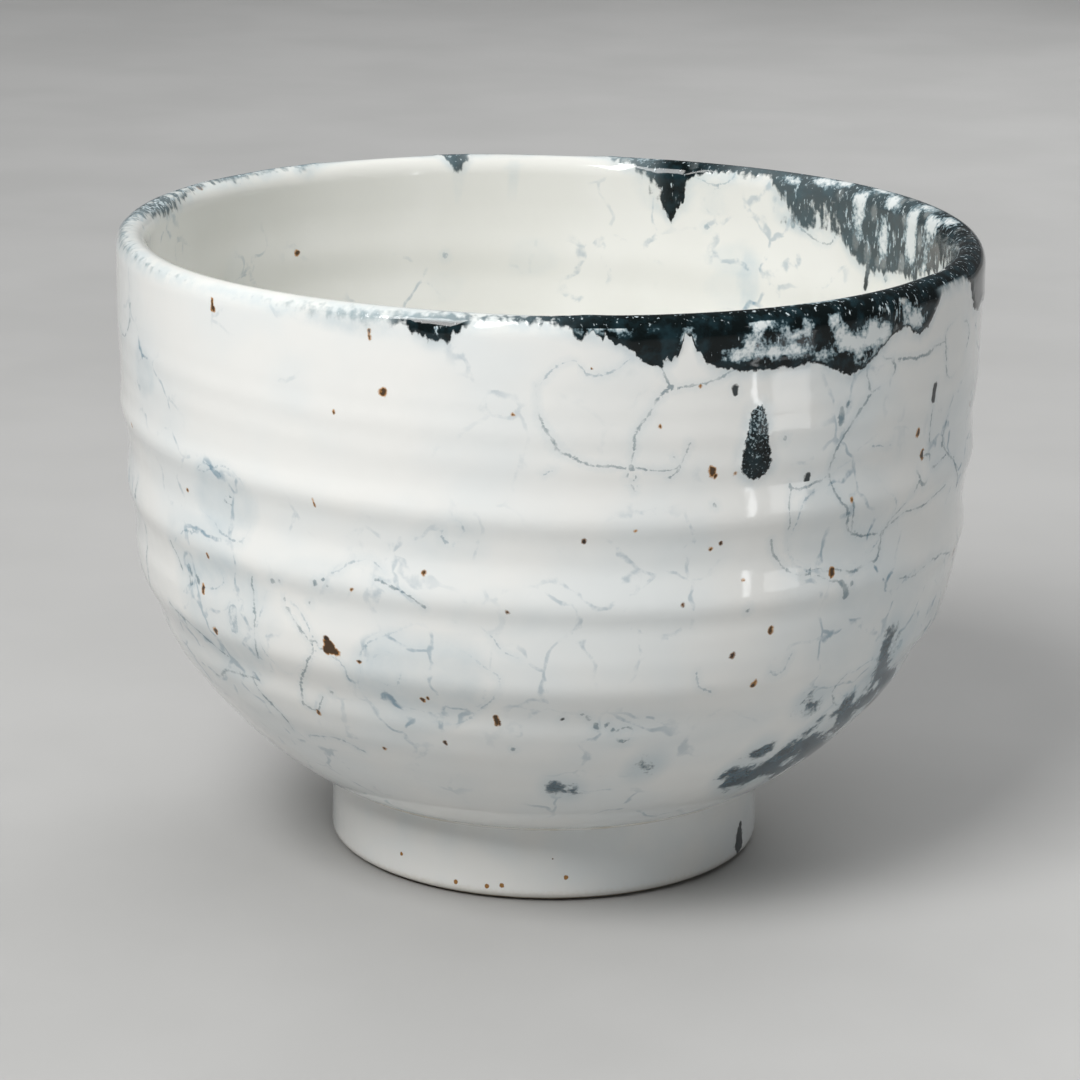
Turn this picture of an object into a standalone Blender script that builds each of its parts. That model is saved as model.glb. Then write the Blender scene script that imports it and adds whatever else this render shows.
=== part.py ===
"""Matcha bowl: a thrown stoneware bowl on a luted foot ring, under coats of glaze.

Run with: blender --background --python part.py
Units are metres, +Z is up. The origin is on the ground, under the middle of the foot.
Every piece is turned about Z from a half section. Sections are written in millimetres, as
(distance from the axis, height above the ground), and run up the outside, over the lip and
down the inside, so that the clay is always on the left of the line.
"""

import math

import bmesh
import bpy
from mathutils import Vector
from mathutils.geometry import interpolate_bezier

MM = 0.001
SEGMENTS = 48
SHARP_ANGLE = math.radians(35)

# Overall size
HEIGHT = 85.0
WALL_RADIUS = 57.9
LIP_WIDTH = 4.2
LIP_RISE = 2.6

# Outside: a round belly that turns into a nearly upright wall at the shoulder
JOINT_RADIUS = 31.0
JOINT_HEIGHT = 11.9
SHOULDER_RADIUS = 56.0
SHOULDER_HEIGHT = 44.5

# Inside: a nearly upright wall that turns into a round floor at the waist
WAIST_RADIUS = 51.9
WAIST_HEIGHT = 48.0
FLOOR_HEIGHT = 17.0
FLOOR_REACH = 34.0

# Glaze coats lie on the clay, with a hairline gap between one solid and the next
GLAZE = 0.5
GAP = 0.3
COAT = GLAZE + GAP
LIP_COAT_LOW = 79.2

# Foot ring and the well inside it
FOOT_RADIUS = 29.5
FOOT_TAPER = 0.2
FOOT_WIDTH = 5.7
FOOT_EDGE = 0.8
FOOT_GLAZE_LOW = 1.2
FOOT_GLAZE_HIGH = 11.0
WELL_RADIUS = FOOT_RADIUS - FOOT_WIDTH
WELL_HEIGHT = 9.8
WELL_RISE = 2.2
WELL_GLAZE_LOW = 2.2
CLAY_BASE = JOINT_HEIGHT + COAT
RING_TOP = CLAY_BASE - GAP
SLIP_WIDTH = 1.8
SLIP_LOW = 11.3

WHITE = (0.80, 0.80, 0.76)
CREAM = (0.72, 0.71, 0.64)
BLUE_BLACK = (0.012, 0.018, 0.024)
CLAY = (0.42, 0.35, 0.27)
SLIP = (0.60, 0.58, 0.53)


def clear_scene():
    for old in list(bpy.data.objects):
        bpy.data.objects.remove(old, do_unlink=True)


def make_material(name, colour, roughness):
    material = bpy.data.materials.new(name)
    material.use_nodes = True
    shader = material.node_tree.nodes["Principled BSDF"]
    shader.inputs["Base Color"].default_value = (*colour, 1.0)
    shader.inputs["Roughness"].default_value = roughness
    shader.inputs["Metallic"].default_value = 0.0
    material.diffuse_color = (*colour, 1.0)
    return material


def curve(start, leave, arrive, end, points):
    """A cubic Bezier stretch of a section, with both its ends."""
    corners = [Vector((r, z, 0.0)) for r, z in (start, leave, arrive, end)]
    return [Vector((p.x, p.y)) for p in interpolate_bezier(*corners, points)]


def arc(centre, radii, first, last, points):
    """An elliptical stretch of a section, between two angles in degrees."""
    found = []
    for step in range(points):
        angle = math.radians(first + (last - first) * step / (points - 1))
        found.append(Vector((centre[0] + radii[0] * math.cos(angle), centre[1] + radii[1] * math.sin(angle))))
    return found


def into_clay(line, depth):
    """The line moved to its left by depth. A point on the axis stays on the axis."""
    moved = []
    for index, point in enumerate(line):
        along = line[min(index + 1, len(line) - 1)] - line[max(index - 1, 0)]
        left = Vector((-along.y, along.x)).normalized()
        if point.x < MM:
            left = Vector((0.0, math.copysign(1.0, left.y)))
        moved.append(point + depth * left)
    return moved


def coat_on(line):
    """The closed section of a glaze coat whose visible face is the line."""
    return line + into_clay(line, GLAZE)[::-1]


def turned(name, section, material, parent):
    """A solid turned about Z from a section that is a loop, or that starts and ends on the axis."""
    mesh = bpy.data.meshes.new(name)
    bm = bmesh.new()
    verts = [bm.verts.new((r * MM, 0.0, z * MM)) for r, z in section]
    edges = [bm.edges.new(pair) for pair in zip(verts, verts[1:])]
    edges.append(bm.edges.new((verts[-1], verts[0])))
    bmesh.ops.spin(bm, geom=verts + edges, axis=(0, 0, 1), angle=math.tau, steps=SEGMENTS, use_merge=True)
    bmesh.ops.remove_doubles(bm, verts=bm.verts, dist=MM * MM)
    bmesh.ops.recalc_face_normals(bm, faces=bm.faces)
    bm.to_mesh(mesh)
    bm.free()
    mesh.shade_smooth()
    mesh.set_sharp_from_angle(angle=SHARP_ANGLE)
    mesh.materials.append(material)
    piece = bpy.data.objects.new(name, mesh)
    piece.parent = parent
    bpy.context.scene.collection.objects.link(piece)
    return piece


def outside_line():
    """The glazed outside, from the foot joint to the dark coat's lower edge."""
    belly = curve(
        (JOINT_RADIUS, JOINT_HEIGHT),
        (JOINT_RADIUS + 6.5, JOINT_HEIGHT),
        (SHOULDER_RADIUS - 1.4, SHOULDER_HEIGHT - 17.0),
        (SHOULDER_RADIUS, SHOULDER_HEIGHT),
        8,
    )
    wall = curve(
        (SHOULDER_RADIUS, SHOULDER_HEIGHT),
        (SHOULDER_RADIUS + 0.9, SHOULDER_HEIGHT + 11.0),
        (WALL_RADIUS, SHOULDER_HEIGHT + 22.0),
        (WALL_RADIUS, LIP_COAT_LOW - GAP),
        4,
    )
    return belly + wall[1:]


def lip_line():
    """The dark coat: up the wall, over the rounded lip and down the inside."""
    inner = WALL_RADIUS - LIP_WIDTH
    over = arc((WALL_RADIUS - LIP_WIDTH / 2, HEIGHT - LIP_RISE), (LIP_WIDTH / 2, LIP_RISE), 0, 180, 7)
    return [Vector((WALL_RADIUS, LIP_COAT_LOW))] + over + [Vector((inner, LIP_COAT_LOW))]


def inside_line():
    """The glazed inside, from the dark coat's lower edge to the middle of the floor."""
    wall = curve(
        (WALL_RADIUS - LIP_WIDTH, LIP_COAT_LOW - GAP),
        (WALL_RADIUS - LIP_WIDTH - 0.4, LIP_COAT_LOW - 12.0),
        (WAIST_RADIUS + 0.5, WAIST_HEIGHT + 12.0),
        (WAIST_RADIUS, WAIST_HEIGHT),
        3,
    )
    floor = curve(
        (WAIST_RADIUS, WAIST_HEIGHT),
        (WAIST_RADIUS, WAIST_HEIGHT - 16.0),
        (FLOOR_REACH, FLOOR_HEIGHT),
        (0.0, FLOOR_HEIGHT),
        8,
    )
    return wall + floor[1:]


def well_ceiling(height, radius):
    """The underside of the floor, a shallow dome that hangs lowest on the axis."""
    return curve((0.0, height), (0.4 * radius, height), (0.7 * radius, height + WELL_RISE), (radius, height + WELL_RISE), 4)


def bowl_section():
    """The clay of the bowl: its underside out from the axis, then everything under the glaze."""
    underside = well_ceiling(WELL_HEIGHT, WELL_RADIUS - COAT)
    step_up = [Vector((WELL_RADIUS - GAP, CLAY_BASE))]
    return underside + step_up + into_clay(outside_line() + lip_line() + inside_line(), COAT)


def ring_section():
    """The clay of the foot: a ring with softened lower edges and a flat resting rim."""
    outer = FOOT_RADIUS - COAT
    outer_edge = arc((outer - FOOT_EDGE, FOOT_EDGE), (FOOT_EDGE, FOOT_EDGE), -90, 0, 3)
    inner_edge = arc((WELL_RADIUS + FOOT_EDGE, FOOT_EDGE), (FOOT_EDGE, FOOT_EDGE), 180, 270, 3)
    top = [Vector((outer - FOOT_TAPER, RING_TOP)), Vector((WELL_RADIUS, RING_TOP))]
    return outer_edge + top + inner_edge


def slip_section():
    """The bead of slip in the corner between the foot and the belly."""
    inner = FOOT_RADIUS - FOOT_TAPER - GLAZE
    rise = (RING_TOP - SLIP_LOW) / 2
    return arc((inner, SLIP_LOW + rise), (SLIP_WIDTH, rise), -90, 90, 5)


def foot_line():
    """The glazed outside of the foot."""
    return [Vector((FOOT_RADIUS, FOOT_GLAZE_LOW)), Vector((FOOT_RADIUS - FOOT_TAPER, FOOT_GLAZE_HIGH))]


def well_line():
    """The glazed inside of the foot: along the ceiling, round the corner and down the ring."""
    radius = WELL_RADIUS - COAT
    ceiling = well_ceiling(WELL_HEIGHT - COAT, radius - 1.0)
    corner = Vector((radius, WELL_HEIGHT + WELL_RISE - COAT - 1.0))
    return ceiling + [corner, Vector((radius, WELL_GLAZE_LOW))]


def main():
    clear_scene()
    bowl = bpy.data.objects.new("matcha_bowl", None)
    bpy.context.scene.collection.objects.link(bowl)
    clay = make_material("stoneware clay", CLAY, 0.75)
    slip = make_material("luting slip", SLIP, 0.35)
    white = make_material("white glaze", WHITE, 0.12)
    cream = make_material("cream glaze", CREAM, 0.14)
    dark = make_material("blue-black glaze", BLUE_BLACK, 0.08)
    turned("bowl_body", bowl_section(), clay, bowl)
    turned("foot_ring", ring_section(), clay, bowl)
    turned("joint_slip", slip_section(), slip, bowl)
    turned("outer_glaze", coat_on(outside_line()), white, bowl)
    turned("lip_glaze", coat_on(lip_line()), dark, bowl)
    turned("inner_glaze", coat_on(inside_line()), cream, bowl)
    turned("foot_glaze", coat_on(foot_line()), white, bowl)
    turned("base_glaze", coat_on(well_line()), white, bowl)


main()
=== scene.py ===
"""Looks for the matcha bowl: glazed skins, foot, floor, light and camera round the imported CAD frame.

Shapes are worked out in millimetres, from the sizes of the CAD nodes. A place on the bowl is an
azimuth in degrees (0 at the front, which is -Y, and 90 at +X) and a height in millimetres. On the
upper wall one degree is one millimetre long, so marks keep their shape in these two numbers.
"""

import math

import bpy
import numpy as np
from mathutils import Matrix, Vector
from mathutils.geometry import delaunay_2d_cdt


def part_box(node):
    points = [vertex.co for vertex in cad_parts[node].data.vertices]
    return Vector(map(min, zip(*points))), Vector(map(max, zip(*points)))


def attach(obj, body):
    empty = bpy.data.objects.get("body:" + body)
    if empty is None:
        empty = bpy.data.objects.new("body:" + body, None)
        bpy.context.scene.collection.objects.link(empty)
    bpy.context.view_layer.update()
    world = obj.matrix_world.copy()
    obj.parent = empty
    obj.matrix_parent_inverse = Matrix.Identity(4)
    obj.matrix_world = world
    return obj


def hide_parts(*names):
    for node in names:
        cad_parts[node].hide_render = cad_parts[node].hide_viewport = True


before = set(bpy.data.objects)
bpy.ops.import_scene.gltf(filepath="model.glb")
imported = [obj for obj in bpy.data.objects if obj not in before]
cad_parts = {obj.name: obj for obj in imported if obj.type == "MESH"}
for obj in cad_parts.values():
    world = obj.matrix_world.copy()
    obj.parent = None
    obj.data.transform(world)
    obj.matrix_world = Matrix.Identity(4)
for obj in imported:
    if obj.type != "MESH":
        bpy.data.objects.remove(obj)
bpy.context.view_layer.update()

MM = 0.001
COLUMNS = 448
FOOT_COLUMNS = 256
MARK_LAYERS = 3
FOAM_PITCH = 8.5
THROWING_PITCH = 11.0
INSIDE_PITCH = 13.0


def box_mm(node):
    low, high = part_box(node)
    return np.array(low) / MM, np.array(high) / MM


# ---------------------------------------------------------------- sizes, from the CAD frame

OUTER_LOW, OUTER_HIGH = box_mm("outer_glaze")
LIP_BOX_LOW, LIP_BOX_HIGH = box_mm("lip_glaze")
INNER_LOW, INNER_HIGH = box_mm("inner_glaze")
FOOT_LOW, FOOT_HIGH = box_mm("foot_glaze")
_, RING_HIGH = box_mm("foot_ring")
SLIP_LOW, SLIP_HIGH = box_mm("joint_slip")
WELL_LOW, WELL_HIGH = box_mm("base_glaze")

GLAZE = 0.5
HEIGHT = LIP_BOX_HIGH[2]
WALL_RADIUS = LIP_BOX_HIGH[0]
JOINT_HEIGHT = OUTER_LOW[2]
SEAM_HEIGHT = (OUTER_HIGH[2] + LIP_BOX_LOW[2]) / 2
FLOOR_HEIGHT = INNER_LOW[2] + GLAZE
LIP_WIDTH = WALL_RADIUS - INNER_HIGH[0] + GLAZE
LIP_RISE = 2.6
JOINT_RADIUS = SLIP_HIGH[0] + 0.4
JOINT_DROP = 0.9
SHOULDER_RADIUS = WALL_RADIUS - 1.9
SHOULDER_HEIGHT = JOINT_HEIGHT + 32.6
WAIST_RADIUS = SHOULDER_RADIUS - 4.1
WAIST_HEIGHT = SHOULDER_HEIGHT + 3.5
FLOOR_REACH = 34.0
FOOT_RADIUS = FOOT_HIGH[0]
FOOT_TAPER = 0.2


# ---------------------------------------------------------------- outlines


def bezier(start, leave, arrive, end, points=80):
    t = np.linspace(0, 1, points)[:, None]
    start, leave, arrive, end = (np.array(p, float) for p in (start, leave, arrive, end))
    return (1 - t) ** 3 * start + 3 * t * (1 - t) ** 2 * leave + 3 * t**2 * (1 - t) * arrive + t**3 * end


def arc(centre, radii, first, last, points=40):
    angle = np.radians(np.linspace(first, last, points))
    return np.stack([centre[0] + radii[0] * np.cos(angle), centre[1] + radii[1] * np.sin(angle)], axis=1)


def lengths_along(line):
    return np.concatenate([[0], np.cumsum(np.linalg.norm(np.diff(line, axis=0), axis=1))])


def evenly(stretches, step):
    """Joined stretches of a section as one line, with a point every step millimetres or less."""
    line = np.concatenate([s if i == 0 else s[1:] for i, s in enumerate(stretches)])
    line = line[np.concatenate([[True], np.linalg.norm(np.diff(line, axis=0), axis=1) > 1e-6])]
    along = lengths_along(line)
    wanted = np.linspace(0, along[-1], int(math.ceil(along[-1] / step)) + 1)
    return np.stack([np.interp(wanted, along, line[:, 0]), np.interp(wanted, along, line[:, 1])], axis=1)


def outside_line():
    """From under the joint bead, up the belly, over the shoulder and up the wall to the lip's seam."""
    joint = (JOINT_RADIUS, JOINT_HEIGHT - JOINT_DROP)
    shoulder = (SHOULDER_RADIUS, SHOULDER_HEIGHT)
    tuck = np.array([(JOINT_RADIUS - 1.2, joint[1]), joint])
    belly = bezier(
        joint, (JOINT_RADIUS + 5.0, joint[1] + 1.7), (SHOULDER_RADIUS - 1.4, SHOULDER_HEIGHT - 17.0), shoulder
    )
    wall = bezier(
        shoulder, (SHOULDER_RADIUS + 0.9, SHOULDER_HEIGHT + 11.0),
        (WALL_RADIUS, SHOULDER_HEIGHT + 22.0), (WALL_RADIUS, SEAM_HEIGHT),
    )
    return evenly([tuck, belly, wall], 0.85)


def lip_line():
    inner = WALL_RADIUS - LIP_WIDTH
    over = arc((WALL_RADIUS - LIP_WIDTH / 2, HEIGHT - LIP_RISE), (LIP_WIDTH / 2, LIP_RISE), 0, 180)
    return evenly([np.array([(WALL_RADIUS, SEAM_HEIGHT)]), over, np.array([(inner, SEAM_HEIGHT)])], 0.5)


def inside_line():
    inner = WALL_RADIUS - LIP_WIDTH
    waist = (WAIST_RADIUS, WAIST_HEIGHT)
    above_waist, below_waist = (WAIST_RADIUS + 0.5, WAIST_HEIGHT + 12.0), (WAIST_RADIUS, WAIST_HEIGHT - 16.0)
    wall = bezier((inner, SEAM_HEIGHT), (inner - 0.4, SEAM_HEIGHT - 12.0), above_waist, waist)
    floor = bezier(waist, below_waist, (FLOOR_REACH, FLOOR_HEIGHT), (0.6, FLOOR_HEIGHT))
    return evenly([wall, floor], 0.95)


# ---------------------------------------------------------------- the glaze pattern, as places on the bowl

# Colour and cover of the marks: under 0.9 is a thin line, and 1 is an iron spot
SLATE = (0.054, 0.134, 0.178, 0.68)
PALE_SLATE = (0.125, 0.240, 0.320, 0.54)
INK = (0.006, 0.014, 0.018, 0.97)
RUST = (0.30, 0.135, 0.024, 1.0)
DARK_RUST = (0.13, 0.056, 0.012, 1.0)

# How far the dark rim glaze runs down from the crest of the lip, outside: (azimuth, millimetres)
RUN_OUTSIDE = (
    (-180, 3.0), (-165, 4.2), (-150, 2.2), (-130, 1.6), (-110, 1.9), (-95, 1.0), (-84, 0.4), (-60, 0.2),
    (-45, -0.3), (-36, 0.2), (-28, 0.9), (-22, 1.3), (-20, 1.0), (-17, 0.7), (-15.8, 1.4), (-14.4, 1.9),
    (-12, 1.7), (-10.6, 0.7), (-8, -0.2), (-4, 0.0), (0, 0.2), (2, 0.5), (4, 1.1), (6, 0.9), (8, 1.7),
    (10, 2.3), (11.5, 3.2), (13, 3.7), (14.6, 3.3), (15.6, 2.2), (16.2, 0.7), (16.9, 1.0), (17.8, 2.8),
    (19.5, 4.3), (22, 5.0), (26, 5.4), (30, 5.2), (34, 5.1), (36.4, 6.1), (39.3, 7.5), (42, 6.8),
    (44.6, 5.0), (46.6, 3.6), (49, 2.7), (51, 3.6), (53, 4.2), (55, 3.6), (57, 1.8), (59, 0.8), (66, 0.7),
    (69, 1.2), (71, 4.4), (74, 5.4), (78, 4.8), (84, 5.8), (90, 6.4), (100, 7.2), (108, 5.6), (116, 8.0),
    (124, 5.4), (132, 6.6), (140, 4.4), (150, 3.6), (158, 6.4), (166, 4.2), (172, 2.2), (180, 3.0),
)

# The same on the inside of the lip, where azimuth runs from 0 to 360 and 180 is the back
RUN_INSIDE = (
    (0, 1.2), (12, 3.2), (20, 2.6), (30, 4.4), (42, 5.2), (52, 3.0), (64, 1.4), (76, 3.6), (90, 4.6),
    (100, 5.4), (105, 7.0), (110, 8.4), (116, 8.8), (122, 9.8), (127, 8.2), (130, 5.4), (134, 5.0),
    (138, 5.8), (142, 4.6), (145, 2.4), (150, 2.8), (154, 2.4), (157, 3.4), (159.4, 5.0), (161, 6.8),
    (162.4, 5.2), (165, 3.8), (169, 2.4), (172, 1.2), (177, 0.6), (185, 1.0), (192, 1.2), (195, 4.0),
    (198, 1.0), (206, 0.5), (216, 1.0), (221, 2.4), (224, 1.6), (234, 2.2), (242, 1.6), (250, 2.4),
    (257, 3.4), (264, 2.6), (272, 1.2), (282, 0.8), (300, 0.2), (318, -0.3), (330, 0.3), (343, 0.7),
    (348, 1.0), (352, 0.6), (360, 1.2),
)

# How thin the rim glaze lies there: 0 is black, and 1 is a blue-grey wash with soft edges
THIN_OUTSIDE = (
    (-180, 0.1), (-120, 0.2), (-95, 0.7), (-60, 1.0), (-21, 1.0), (-16.5, 0.1), (-10.5, 0.15), (-8.5, 0.9),
    (0, 0.8), (3, 0.2), (6, 0.0), (56, 0.0), (59, 0.8), (66, 0.7), (69, 0.0), (140, 0.1), (180, 0.1),
)
THIN_INSIDE = (
    (0, 0.3), (12, 0.0), (96, 0.1), (108, 0.35), (140, 0.4), (150, 0.45), (160, 0.05), (164, 0.4),
    (172, 0.7), (192, 0.9), (194, 0.4), (197, 0.5), (200, 1.0), (222, 0.8), (240, 0.55), (262, 0.5),
    (276, 0.9), (340, 1.0), (360, 0.3),
)

# How smooth the lower edge of the rim glaze is, outside: 0 is toothed, and 1 is even
CALM = (
    (-180, 0.3), (-100, 0.2), (-17, 0.3), (0, 0.0), (13, 0.05), (19, 0.6), (48, 0.75), (58, 0.6),
    (80, 0.35), (180, 0.3),
)

# Milky pools inside the dark rim, outside: (azimuth, height, half width, half height, strength)
RIM_POOLS = (
    (26.1, 84.3, 1.5, 0.9, 1.0), (25.6, 82.8, 0.5, 1.2, 0.7), (23.8, 80.5, 2.5, 0.9, 1.0),
    (24.5, 81.6, 1.0, 1.2, 1.0), (27.0, 80.3, 2.8, 0.9, 1.0), (26.4, 81.6, 0.8, 1.2, 0.8),
    (30.0, 80.3, 2.8, 0.8, 0.9), (32.4, 82.7, 0.7, 1.4, 1.0), (30.6, 82.3, 1.6, 0.7, 0.9),
    (29.3, 82.6, 0.8, 1.2, 0.7), (36.5, 83.5, 1.0, 1.4, 1.0), (37.4, 81.8, 1.2, 1.5, 1.0),
    (38.6, 80.3, 2.2, 1.5, 1.0), (40.8, 79.2, 3.0, 2.0, 1.0), (43.0, 80.6, 1.8, 2.8, 1.0),
    (44.8, 80.6, 1.5, 1.9, 1.0), (35.0, 79.3, 1.6, 0.5, 0.6), (51.4, 81.4, 2.0, 1.5, 1.0),
    (49.8, 83.1, 0.8, 1.3, 0.8), (16.4, 82.8, 0.7, 2.0, 1.0), (6, 84.4, 2.4, 0.4, 0.8),
    (86, 81.8, 2.2, 1.2, 0.9), (90.5, 80.6, 3.4, 1.5, 1.0), (101, 82.4, 1.4, 2.0, 1.0),
    (104.5, 80.6, 3.6, 2.2, 1.0), (118, 82.0, 1.6, 1.0, 0.9), (124, 80.0, 5.4, 1.5, 1.0),
    (127.5, 82.4, 1.2, 1.8, 1.0), (148, 82.6, 4.0, 1.2, 0.8), (-163, 82.8, 5.0, 1.3, 0.9),
)
INSIDE_POOLS = (
    (104, 80.4, 2.4, 1.7, 1.0), (111, 79.2, 2.0, 2.6, 1.0), (118, 81.4, 1.9, 1.5, 1.0),
    (119, 77.6, 1.3, 1.4, 0.9), (125.5, 80.0, 1.7, 2.0, 1.0), (130.5, 82.6, 1.6, 1.2, 1.0),
    (106, 77.2, 1.2, 1.2, 0.9), (134.5, 82.2, 2.4, 1.0, 0.9), (140, 81.4, 1.5, 0.8, 0.8),
    (165, 83.2, 3.0, 0.7, 0.7), (36, 82.0, 5.0, 1.4, 0.9), (99, 82.2, 2.4, 1.0, 0.9),
    (109, 82.6, 2.0, 0.9, 0.9), (122, 83.2, 2.6, 0.8, 0.8),
)

# Dark clots and fingers lying in the milky pools: (azimuth, height, radius)
CLOTS = (
    (38.6, 77.6, 1.6), (42.4, 78.3, 0.75), (40.4, 82.5, 1.3), (54.2, 83.0, 1.1), (53.6, 82.2, 0.9),
    (92, 80.4, 0.8), (106.0, 79.4, 1.1), (122, 80.4, 0.8), (-165, 82.0, 1.0),
)

# Filled bubbles of thin blue film, outside: (azimuth, height, half width, half height, strength)
FILMS = (
    (-16.5, 38.2, 9.4, 7.0, 1.0), (-45.5, 57.6, 6.0, 4.6, 1.0), (-36, 40.5, 5.4, 6.2, -0.5),
    (-47, 42, 11, 8.5, 0.9), (-52, 50, 8, 4.5, 0.55), (-30, 50, 6, 3.0, 0.35), (-12, 57.5, 5, 3.5, 0.35),
    (40, 57, 9, 6.5, 0.5), (45, 67, 8, 6, 0.25), (66, 62, 9, 8, 0.45), (49, 40, 13, 11, 0.6),
    (64, 32, 12, 9, 0.8), (7, 73.5, 7, 6, 0.22), (36, 75, 4, 2, 0.2), (-64, 70.5, 3.5, 3.5, 0.9),
    (18, 31, 14, 3, 0.25), (-58, 33, 9, 6, 0.7), (-27, 30, 9, 4, 0.35), (-6, 48, 6, 3.5, 0.3),
    (18, 55, 5, 3, 0.2), (96, 52, 10, 8, 0.6), (110, 33, 9, 7, 0.8), (128, 61, 8, 6, 0.5),
    (152, 44, 11, 8, 0.8), (170, 66, 6, 5, 0.4), (-166, 36, 9, 6, 0.7), (-150, 58, 7, 6, 0.6),
    (-128, 42, 10, 8, 0.8), (-104, 62, 8, 6, 0.5), (-92, 36, 9, 7, 0.8), (-80, 54, 6, 5, 0.5),
)

INSIDE_FILMS = (
    (146.8, 68.6, 2.0, 4.2, 0.9), (149.4, 71.6, 4.6, 2.6, 0.5), (150.0, 67.4, 4.4, 3.4, 0.35),
    (186, 80, 1.2, 1.6, 0.6), (222, 83.4, 1.6, 1.6, 0.8), (234, 83.6, 2.0, 1.6, 0.7), (183, 70, 4, 3, 0.25),
    (197, 66, 3, 2.4, 0.2), (70, 66, 7, 6, 0.5), (318, 60, 8, 7, 0.4), (238, 70, 3, 5, 0.25),
)

# Cobalt and teal pools on the belly: capsules (azimuth, height) to (azimuth, height), radius
COBALT = (
    ((32.6, 21.4), (35.4, 20.8), 1.0), ((35.4, 20.2), (40.4, 18.8), 1.9), ((40.6, 20.2), (43.6, 21.8), 1.5),
    ((44.0, 23.4), (49.0, 23.2), 1.9), ((45.0, 25.8), (45.6, 26.8), 0.8), ((49.0, 22.4), (55.0, 20.6), 1.6),
    ((43.6, 19.4), (50.0, 18.0), 1.2), ((56.0, 20.4), (61.0, 18.6), 1.3), ((54.0, 24.0), (58.0, 23.4), 1.0),
    ((50.6, 28.4), (54.6, 26.6), 1.4), ((53.6, 27.6), (57.0, 29.4), 1.2), ((53.2, 37.2), (54.0, 38.8), 1.1),
    ((53.4, 36.4), (55.2, 34.2), 1.2), ((55.4, 34.0), (57.6, 31.8), 1.4), ((57.4, 31.6), (61.0, 30.6), 1.3),
    ((63.0, 29.4), (66.0, 28.2), 1.1), ((56.0, 29.0), (60.6, 27.2), 1.3), ((64.0, 25.6), (67.4, 25.0), 1.0),
    ((35.0, 25.0), (36.2, 24.6), 0.8), ((15.2, 25.0), (16.2, 25.1), 0.9), ((39.6, 32.2), (42.4, 31.2), 0.5),
    ((1.5, 21.7), (4.5, 21.2), 0.35), ((88, 25), (90.6, 24.4), 1.0), ((120, 23), (124, 21.6), 1.6),
    ((126, 24), (129, 26.4), 1.3), ((-156, 25), (-151, 22.6), 1.7), ((-149, 26.4), (-147, 29.6), 1.2),
    ((-98, 22.5), (-88, 24), 1.4), ((170, 31), (174, 30), 0.8), ((-118, 33), (-114, 32.4), 0.8),
)

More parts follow.
